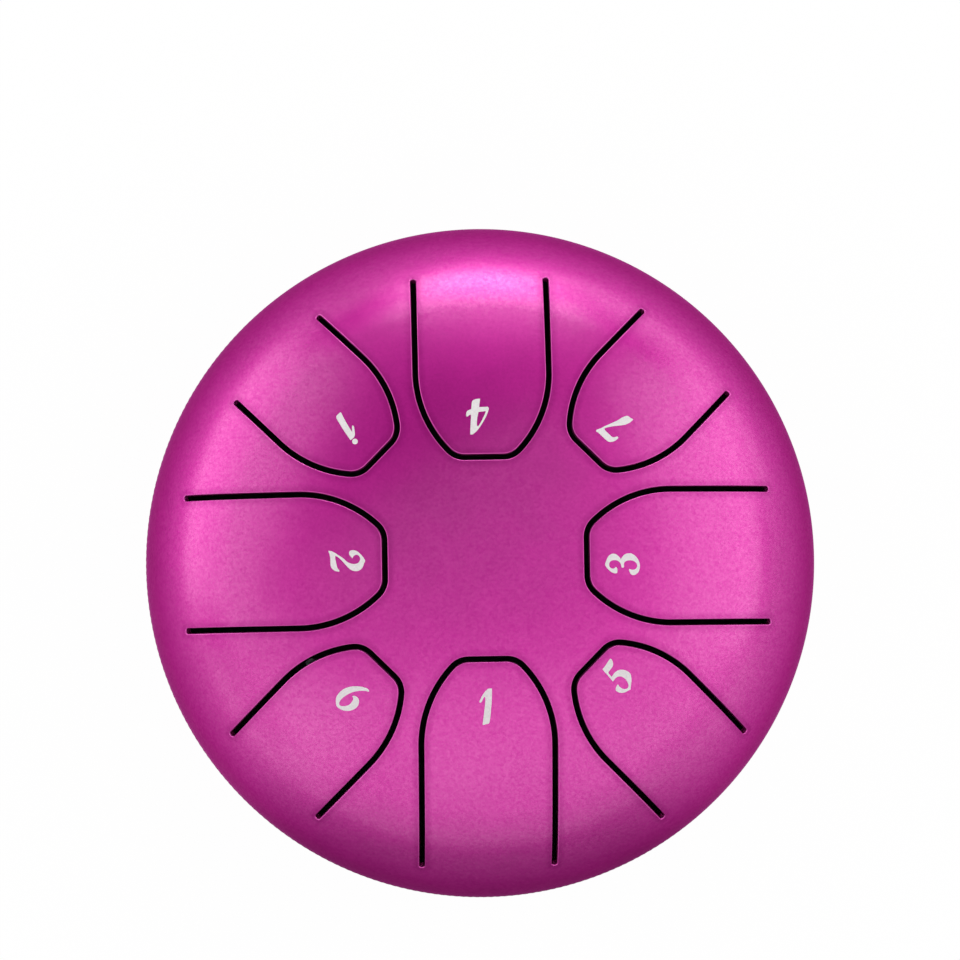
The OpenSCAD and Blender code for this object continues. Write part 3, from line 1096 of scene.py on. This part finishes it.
def screwSection():
    shank, head, point = screw["diameter"] / 2, screw["headDiameter"] / 2, screw["pointLength"]
    rows = round(screw["length"] / screw["pitch"] * screw["rowsPerPitch"])
    points = [(0, screwEnd), (shank * screw["pointShare"], screwEnd), (shank, screwEnd + point)]
    threaded = screw["length"] - point - screw["neck"]
    points += [(shank, screwEnd + point + threaded * k / rows) for k in range(1, rows + 1)]
    points += [(shank, screwSeat), (head - screw["rimEdge"], screwSeat), (head, screwSeat + screw["rimEdge"]),
               (head, screwSeat + screw["rimHeight"])]
    rise = screw["headHeight"] - screw["rimHeight"]
    dome = (head ** 2 + rise ** 2) / (2 * rise)
    start, steps = math.asin(head / dome), screw["domeSteps"]
    angles = [start * (1 - k / steps) for k in range(1, steps + 1)]
    return points + [(dome * math.sin(a), screwTop - dome + dome * math.cos(a)) for a in angles]


# the recess of a cross driver: its arms' width and span at the top, and shares of them at two depths
cross = {"width": 1.1, "span": 4.4, "depth": 1.9, "over": 0.4, "taper": 0.5,
         "shares": ((1.12, 1.06), (0.6, 0.8), (0.3, 0.7))}


def crossCutter():
    low = screwTop - cross["depth"]
    work = bmesh.new()
    rings = []
    levels = (screwTop + cross["over"], low + cross["taper"], low)
    for level, (spanShare, widthShare) in zip(levels, cross["shares"]):
        reach, arm = cross["span"] / 2 * spanShare, cross["width"] / 2 * widthShare
        outline = []
        for k in range(4):
            for x, y in turnPoints([(arm, -arm), (reach, -arm), (reach, arm)], 90 * k):
                outline.append(work.verts.new((x * mm, y * mm, level * mm)))
        rings.append(outline)
    for upper, lower in zip(rings, rings[1:]):
        for k in range(len(upper)):
            j = (k + 1) % len(upper)
            work.faces.new((upper[k], upper[j], lower[j], lower[k]))
    work.faces.new(rings[0])
    work.faces.new(rings[-1][::-1])
    return addObject("crossCutter", meshFrom(work, "crossCutter"))


cutter = crossCutter()
screwPiece = sectionObject("foot_screws_dressed", screwSection())
useTree(screwPiece, turnTree, segments=screw["segments"], threadPitch=screw["pitch"] * mm,
        threadDepth=screw["threadDepth"] * mm, threadStart=(screwEnd + screw["threadFrom"]) * mm,
        threadEnd=(screwSeat - screw["threadTo"]) * mm, finish=zincSteel)
freeze(screwPiece)
recess = screwPiece.modifiers.new("Cross recess", "BOOLEAN")
recess.object = cutter
recess.operation = "DIFFERENCE"
recess.solver = "EXACT"
finishRing(screwPiece, "foot_screw", zincSteel, screw["sharpAngle"])
bpy.data.objects.remove(cutter)


nut = {"width": 7, "thickness": 3.2, "hole": 4.1, "holeEdge": 0.25, "chamferStart": 0.94, "chamferSlope": 30,
       "perFlat": 10, "sharpAngle": 20}


def nutMesh():
    # six flats whose corners are turned off at both ends
    thick = nut["thickness"]
    low = innerSeat - washer["thickness"] - thick
    half, hole, edge = nut["width"] / 2, nut["hole"] / 2, nut["holeEdge"]
    chamfer = half * nut["chamferStart"]
    fall = math.tan(math.radians(nut["chamferSlope"]))
    work = bmesh.new()
    rings = []
    count = 6 * nut["perFlat"]
    for k in range(count):
        angle = 2 * math.pi * k / count
        c, s = math.cos(angle), math.sin(angle)
        within = (angle + math.pi / 6) % (math.pi / 3) - math.pi / 6
        flatRadius = half / math.cos(within)
        cut = (flatRadius - chamfer) * fall
        section = [(hole, edge), (hole + edge, 0), (chamfer, 0), (flatRadius, cut), (flatRadius, thick - cut),
                   (chamfer, thick), (hole + edge, thick), (hole, thick - edge)]
        rings.append([work.verts.new((r * c * mm, r * s * mm, (low + z) * mm)) for r, z in section])
    for here, there in zip(rings, rings[1:] + rings[:1]):
        for k in range(len(here)):
            j = (k + 1) % len(here)
            work.faces.new((here[k], there[k], there[j], here[j]))
    return meshFrom(work, "nuts_dressed")


nutPiece = addObject("nuts_dressed", nutMesh())
finishRing(nutPiece, "nut", dulledSteel, nut["sharpAngle"])


# The printed numbers, drawn on a fine grid with x to the right and y up from each number's middle

print("drawing the numbers")
numbers = {
    "grid": 0.01416,      # size of the drawing grid
    "height": 0.035,      # thickness of the print over the paint
    "sink": 0.012,        # how far its underside lies below the paint's face
    "meshStep": 0.9,
    "clearance": 0.35,    # free points keep this share of a step away from the outlines
    "outlineStep": 14,    # on the drawing grid
    "sharpAngle": 40,
    "cornerTurn": 48,     # outlines turn sharply only where they turn by more than this
    "forms": {
        "1": {"along": 34.05, "aside": -0.07, "outlines": [[
            (8, 317), (68, 322), (68, 280), (65, 180), (60, 80), (50, -20), (40, -120), (28, -200),
            (18, -230), (-5, -242), (-40, -248), (-70, -258), (-86, -258), (-80, -200), (-68, -120),
            (-55, -20), (-43, 80), (-37, 150), (-40, 186), (-55, 194), (-80, 150), (-103, 104),
            (-122, 97), (-136, 110), (-125, 135), (-100, 190), (-70, 235), (-40, 275)]]},
        "high 1": {"along": 42.83, "aside": 0.57, "outlines": [[
            (40, 166), (100, 158), (95, 120), (82, 60), (65, -20), (45, -100), (25, -170), (10, -225),
            (-2, -258), (-25, -277), (-60, -277), (-95, -277), (-116, -267), (-105, -235), (-85, -180),
            (-65, -120), (-45, -50), (-25, 20), (-12, 80), (-16, 82), (-40, 55), (-65, 30), (-82, 16),
            (-97, 20), (-96, 40), (-80, 65), (-50, 100), (-20, 135), (10, 158)],
            arcPoints((68, 224), 45, 0, 2 * math.pi, 16)[:-1]]},
        "2": {"along": 31.34, "aside": 0.25, "outlines": [[
            (-5, 285), (40, 265), (90, 248), (125, 222), (150, 180), (158, 135), (150, 90), (130, 50),
            (100, 15), (60, -20), (20, -55), (-20, -90), (-50, -120), (-75, -150), (-92, -183),
            (-94, -188), (-60, -192), (-20, -185), (30, -175), (80, -165), (115, -150), (140, -128),
            (157, -128), (156, -160), (145, -200), (120, -232), (90, -255), (60, -265), (20, -267),
            (-30, -268), (-80, -272), (-130, -282), (-162, -295), (-177, -295), (-172, -260),
            (-158, -225), (-135, -185), (-105, -140), (-75, -95), (-45, -55), (-10, -20), (15, 10),
            (32, 50), (42, 90), (42, 130), (32, 165), (10, 190), (-20, 205), (-55, 205), (-85, 188),
            (-102, 162), (-102, 135), (-90, 110), (-70, 95), (-48, 82), (-65, 70), (-85, 50), (-110, 35),
            (-140, 32), (-165, 45), (-177, 75), (-175, 115), (-162, 155), (-135, 190), (-100, 225),
            (-60, 255), (-25, 277)]]},
        "3": {"along": 31.01, "aside": -2.08, "outlines": [[
            (20, 285), (65, 268), (115, 248), (155, 218), (180, 180), (185, 145), (175, 110), (155, 80),
            (125, 50), (95, 30), (120, 12), (150, -10), (175, -45), (187, -90), (185, -140), (165, -180),
            (130, -220), (90, -248), (40, -268), (-10, -277), (-60, -272), (-105, -255), (-140, -225),
            (-160, -185), (-158, -150), (-140, -125), (-105, -108), (-75, -98), (-62, -106), (-72, -135),
            (-75, -170), (-65, -205), (-40, -228), (-5, -235), (30, -220), (60, -185), (75, -140),
            (75, -95), (65, -55), (40, -25), (10, -17), (-25, -20), (-40, -10), (-40, 15), (-25, 22),
            (5, 28), (35, 40), (65, 70), (80, 110), (82, 150), (72, 185), (50, 210), (20, 220),
            (-15, 218), (-40, 200), (-52, 175), (-52, 145), (-35, 120), (-28, 108), (-50, 92), (-90, 88),
            (-120, 92), (-130, 115), (-125, 150), (-105, 190), (-75, 225), (-40, 258), (-5, 280)]]},
        "4": {"along": 32.09, "aside": 1.24, "outlines": [[
            (95, 288), (128, 284), (123, 180), (117, 80), (110, 0), (112, -35), (130, -30), (150, -15),
            (168, -3), (185, -7), (188, -30), (183, -65), (178, -80), (160, -100), (130, -112),
            (102, -120), (98, -160), (93, -210), (85, -250), (65, -268), (30, -282), (-5, -288),
            (-35, -290), (-42, -282), (-35, -240), (-28, -190), (-24, -152), (-80, -154), (-130, -156),
            (-162, -158), (-175, -142), (-177, -120), (-165, -80), (-150, -40), (-130, 2), (-95, 65),
            (-55, 130), (-20, 180), (20, 230), (60, 265)],
            [
            (0, 155), (17, 150), (20, 130), (17, 80), (10, 20), (0, -30), (-10, -73), (-50, -80),
            (-90, -83), (-118, -88), (-130, -80), (-120, -55), (-100, -10), (-70, 50), (-40, 100),
            (-15, 140)]]},
        "5": {"along": 40.37, "aside": 1.61, "outlines": [[
            (-85, 275), (-50, 275), (0, 283), (50, 292), (95, 300), (125, 298), (125, 275), (115, 245),
            (95, 215), (65, 190), (30, 182), (-20, 178), (-60, 170), (-68, 150), (-70, 115), (-73, 82),
            (-40, 87), (10, 93), (60, 85), (100, 65), (135, 30), (160, -10), (175, -60), (170, -110),
            (145, -150), (110, -190), (65, -225), (25, -255), (0, -278), (-40, -265), (-90, -250),
            (-135, -220), (-165, -180), (-180, -130), (-165, -100), (-135, -85), (-95, -73), (-85, -80),
            (-95, -110), (-92, -145), (-80, -185), (-55, -215), (-20, -230), (10, -220), (35, -190),
            (50, -150), (57, -110), (55, -65), (40, -25), (10, 5), (-25, 20), (-60, 22), (-90, 15),
            (-112, 15), (-108, 50), (-102, 100), (-98, 160), (-95, 220), (-90, 265)]]},
        "6": {"along": 43.81, "aside": 0.56, "outlines": [[
            (105, 273), (80, 283), (45, 283), (10, 265), (-30, 245), (-70, 215), (-115, 175),
            (-155, 130), (-190, 75), (-215, 15), (-225, -50), (-222, -110), (-205, -165), (-170, -210),
            (-130, -245), (-95, -260), (-55, -255), (0, -242), (50, -210), (95, -165), (125, -110),
            (137, -55), (132, -10), (110, 30), (80, 60), (45, 72), (10, 70), (-20, 55), (-40, 30),
            (-20, 25), (5, 10), (20, -30), (25, -70), (20, -110), (0, -150), (-30, -185), (-60, -208),
            (-85, -215), (-110, -195), (-125, -160), (-130, -120), (-125, -70), (-115, -20), (-100, 30),
            (-80, 75), (-50, 125), (-15, 170), (20, 205), (60, 240), (95, 260)]]},
        "7": {"along": 41.75, "aside": -0.79, "outlines": [[
            (195, 252), (210, 235), (195, 200), (175, 160), (165, 125), (145, 70), (125, 20), (110, -20),
            (90, -70), (72, -120), (60, -170), (45, -220), (30, -255), (10, -285), (-20, -295),
            (-55, -298), (-85, -310), (-102, -308), (-100, -285), (-95, -240), (-85, -205), (-65, -160),
            (-30, -110), (10, -60), (50, -10), (90, 45), (120, 95), (132, 125), (110, 138), (60, 140),
            (10, 138), (-30, 138), (-60, 132), (-80, 115), (-95, 85), (-110, 70), (-130, 75), (-135, 90),
            (-130, 135), (-115, 175), (-90, 210), (-60, 232), (-30, 240), (40, 242), (110, 243),
            (160, 243), (180, 250)]]},
    },
}


def smoothOutline(points):
    # a smooth closed line through the drawn points, sharp only where it turns strongly
    count = len(points)
    pts = np.array(points, float)
    sharp = []
    for k in range(count):
        before, after = pts[k] - pts[k - 1], pts[(k + 1) % count] - pts[k]
        turn = math.atan2(before[0] * after[1] - before[1] * after[0], float(before @ after))
        sharp.append(abs(math.degrees(turn)) > numbers["cornerTurn"])
    out = []
    for k in range(count):
        p0, p1, p2, p3 = [pts[(k + j) % count] for j in (-1, 0, 1, 2)]
        chord = p2 - p1
        length = np.linalg.norm(chord)
        slope1, slope2 = [chord if isSharp else reach / max(np.linalg.norm(reach), 1e-9) * length
                          for isSharp, reach in ((sharp[k], p2 - p0), (sharp[(k + 1) % count], p3 - p1))]
        steps = max(1, round(length / numbers["outlineStep"]))
        for j in range(steps):
            t = j / steps
            out.append(p1 * (2 * t ** 3 - 3 * t ** 2 + 1) + slope1 * (t ** 3 - 2 * t ** 2 + t)
                       + p2 * (-2 * t ** 3 + 3 * t ** 2) + slope2 * (t ** 3 - t ** 2))
    return np.array(out)


def numberPiece(tongue):
    form = numbers["forms"][tongue["number"]]
    loops, points, edges = [], [], []
    for outline in form["outlines"]:
        drawn = smoothOutline(outline) * numbers["grid"]
        # a number's top points to the middle of the drum
        placed = [(form["along"] - y, form["aside"] + x) for x, y in drawn]
        loop = unroll(turnPoints(placed, tongue["direction"]))
        edges += closedEdges(len(points), len(loop))
        points += [tuple(p) for p in loop]
        loops.append(loop)
    border = np.array(points)
    step = numbers["meshStep"]
    columns = [np.arange(first, last, step) for first, last in zip(border.min(axis=0), border.max(axis=0))]
    field = np.stack(np.meshgrid(*columns, indexing="ij"), axis=-1).reshape(-1, 2)
    points += [tuple(p) for p in field[gapsTo(border, field) > numbers["clearance"] * step]]
    flat, triangles, middles = triangulate(points, edges)
    inside = np.zeros(len(triangles), bool)
    for loop in loops:
        inside ^= insidePolygon(middles, loop)
    triangles = triangles[inside]
    work = bmesh.new()
    top, low = [[work.verts.new((x * mm, y * mm, height * mm)) for x, y in flat]
                for height in (numbers["height"], -numbers["sink"])]
    for a, b, c in triangles.tolist():
        work.faces.new((top[a], top[b], top[c]))
        work.faces.new((low[c], low[b], low[a]))
    for a, b in borderEdges(triangles):
        work.faces.new((top[b], top[a], low[a], low[b]))
    bmesh.ops.delete(work, geom=[v for v in work.verts if not v.link_faces], context="VERTS")
    name = tongue["name"] + "_number"
    obj = addObject(name, meshFrom(work, name))
    useTree(obj, pressTree, side=1.0, paint=numberPrint, insidePaint=numberPrint)
    freeze(obj, outward=False, sharpAngle=numbers["sharpAngle"])
    dropAttributes(obj.data)
    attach(obj, tongue["name"])


for tongue in tongues:
    numberPiece(tongue)
print("numbers printed")


# Floor, lights and camera

studio = {
    "floorSize": 3000,
    "floorPoints": 96,
    "floorColour": (0.88, 0.88, 0.88),
    "floorWhite": 0.97,       # share of plain white in the floor
    "shadeRadius": 66,        # under the drum the floor is plain and takes the drum's shadow
    "shadeSoftness": 0.1,
    "holeRadius": 50,         # it goes black towards the middle: a painted shadow, which shows through the slots
    "holeSoftness": 0.6,
    "backdrop": (2, 20.5),    # degrees over the horizon between which the white backdrop fades out
    "ceilingLevel": 0.01,
    "frontLevel": 0.36,       # the side towards the player is darker in the paint's reflections
    "frontSpread": (50, 28),  # degrees from the front between which it darkens
    "frontFloor": 0.75,       # share of that darkness in the floor
    "farFloor": 0.84,         # the floor's level in reflections past a radius
    "farRadius": 150,
    "farSoftness": 0.3,
    "lampDistance": 2000,
    "lampAim": 60,            # height of the point that the lamps turn to
    "lamps": {                # direction, rise, half width and half height in degrees, and level
        "Right": (14, 36, 27, 19, 1.88),
        "Right low": (54, 9, 40, 14, 0.9),
        "Far low": (89, 15, 13, 8, 4.1),
        "Far": (86, 32, 18, 9, 2.95),
        "Left": (158, 19, 29, 33, 1.64),
        "Left front": (213, 31, 16, 25, 0.98),
        "Front high": (275, 59, 40, 11, 0.86),
        "Front low": (286, 32, 55, 20, 0.9),
        "Top": (301, 82, 31, 28, 0.73),
    },
}


def frontGroup():
    # 1 all round, falling to the front's own level towards the player
    inputs = {"Vector": vectorIn, "Front Level": studio["frontLevel"]}
    tree, given, end = newTree("Darker front", inputs, ["Value"])
    flat = vectorCalc("NORMALIZE", vectorCalc("MULTIPLY", given["Vector"], (1.0, 1.0, 0.0)))
    forward = separate(flat)[1] * -1.0
    outer, inner = [math.cos(math.radians(angle)) for angle in studio["frontSpread"]]
    plug(smoothRange(forward, outer, inner, 1.0, given["Front Level"]), end.inputs["Value"])
    return tree


darkerFront = frontGroup()


def pastDisc(reach, radius, softness):
    # 0 inside the radius, 1 outside it
    return smoothRange(reach, radius * (1 - softness) * mm, radius * mm)


def mixShaders(share, first, second):
    return wireFrom(share.tree, "ShaderNodeMixShader", {0: share, 1: first, 2: second})


def makeFloor():
    work = bmesh.new()
    bmesh.ops.create_circle(work, cap_ends=True, segments=studio["floorPoints"],
                            radius=studio["floorSize"] * mm / 2)
    floor = addObject("floor", meshFrom(work, "floor", outward=False))
    material = bpy.data.materials.new("White floor")
    material.use_nodes = True
    tree = material.node_tree
    tree.nodes.clear()
    diffuse = wireFrom(tree, "ShaderNodeBsdfDiffuse", {"Color": (*studio["floorColour"], 1)})
    white = wireFrom(tree, "ShaderNodeEmission", {"Color": (1, 1, 1, 1), "Strength": 1.0})
    unlit = wireFrom(tree, "ShaderNodeEmission", {"Color": (0, 0, 0, 1), "Strength": 0.0})
    rays = addNode(tree, "ShaderNodeLightPath").outputs
    toCamera, glossy, through = [Wire(tree, rays["Is " + kind + " Ray"])
                                 for kind in ("Camera", "Glossy", "Transmission")]
    seen = calc("MAXIMUM", toCamera, calc("MAXIMUM", glossy, through))
    place = wireFrom(tree, "ShaderNodeTexCoord", output="Object")
    reach = vectorCalc("LENGTH", place, output="Value")
    clear = pastDisc(reach, studio["shadeRadius"], studio["shadeSoftness"])
    lit = mixShaders(seen * clear * studio["floorWhite"], diffuse, white)
    front = useGroup(tree, darkerFront, {"Vector": place})["Value"]
    frontLevel = 1.0 - (1.0 - front) * studio["frontFloor"]
    farLevel = 1.0 - pastDisc(reach, studio["farRadius"], studio["farSoftness"]) * (1 - studio["farFloor"])
    inReflection = glossy * (1.0 - frontLevel * farLevel)
    # a painted shadow under the drum, black towards the middle, seen by the camera only
    throughSlots = toCamera * (1.0 - pastDisc(reach, studio["holeRadius"], studio["holeSoftness"]))
    dark = mixShaders(calc("MAXIMUM", inReflection, throughSlots), lit, unlit)
    # the floor is clear from below, so that the underside can be looked at
    back = wireFrom(tree, "ShaderNodeNewGeometry", output="Backfacing")
    sided = mixShaders(back, dark, wireFrom(tree, "ShaderNodeBsdfTransparent"))
    addNode(tree, "ShaderNodeOutputMaterial", {"Surface": sided}).is_active_output = True
    floor.data.materials.append(material)


def makeWorld():
    world = bpy.data.worlds.new("Studio")
    bpy.context.scene.world = world
    world.use_nodes = True
    tree = world.node_tree
    tree.nodes.clear()
    direction = wireFrom(tree, "ShaderNodeTexCoord", output="Generated")
    low, high = [math.sin(math.radians(angle)) for angle in studio["backdrop"]]
    level = smoothRange(separate(direction)[2], low, high, 1.0, studio["ceilingLevel"])
    front = useGroup(tree, darkerFront, {"Vector": direction})["Value"]
    seen = wireFrom(tree, "ShaderNodeLightPath", output="Is Camera Ray")
    background = wireFrom(tree, "ShaderNodeBackground", {"Color": (1, 1, 1, 1),
                                                         "Strength": calc("MAXIMUM", level * front, seen)})
    addNode(tree, "ShaderNodeOutputWorld", {"Surface": background})


def makeLamp(name, direction, rise, halfWidth, halfHeight, level):
    # level is the brightness of the softbox's face, where 1 is white
    data = bpy.data.lights.new(name, "AREA")
    data.shape = "RECTANGLE"
    distance = studio["lampDistance"] * mm
    data.size = 2 * distance * math.tan(math.radians(halfWidth))
    data.size_y = 2 * distance * math.tan(math.radians(halfHeight))
    data.energy = math.pi * level * data.size * data.size_y
    lamp = bpy.data.objects.new(name, data)
    bpy.context.scene.collection.objects.link(lamp)
    turn, rise = math.radians(direction), math.radians(rise)
    away = Vector((math.cos(rise) * math.cos(turn), math.cos(rise) * math.sin(turn), math.sin(rise)))
    side = Vector((-math.sin(turn), math.cos(turn), 0))
    facing = Matrix((side, away.cross(side), away)).transposed().to_4x4()
    lamp.matrix_world = Matrix.Translation(away * distance + Vector((0, 0, studio["lampAim"] * mm))) @ facing
    lamp.visible_camera = False


camera = {"place": (-45.8, -37.5, dish["seamHeight"] + 1500), "aim": (0.25, 19.25, dish["seamHeight"]),
          "roll": 0.96, "span": 223.4, "sensor": 36, "clip": (10, 20000)}


def makeCamera():
    data = bpy.data.cameras.new("Camera")
    obj = bpy.data.objects.new("Camera", data)
    bpy.context.scene.collection.objects.link(obj)
    place, aim = Vector(camera["place"]) * mm, Vector(camera["aim"]) * mm
    look = (aim - place).normalized()
    right = look.cross(Vector((0, 1, 0))).normalized()
    turn = Matrix((right, right.cross(look), -look)).transposed()
    turn = Matrix.Rotation(math.radians(camera["roll"]), 3, look) @ turn
    obj.matrix_world = Matrix.Translation(place) @ turn.to_4x4()
    data.sensor_width = camera["sensor"]
    data.lens = camera["sensor"] * (aim - place).length / (camera["span"] * mm)
    data.clip_start, data.clip_end = [distance * mm for distance in camera["clip"]]
    bpy.context.scene.camera = obj


makeFloor()
makeWorld()
for lampName, lampValues in studio["lamps"].items():
    makeLamp(lampName + " softbox", *lampValues)
makeCamera()
bpy.context.scene.view_settings.view_transform = "Standard"
print("floor, lights and camera set")
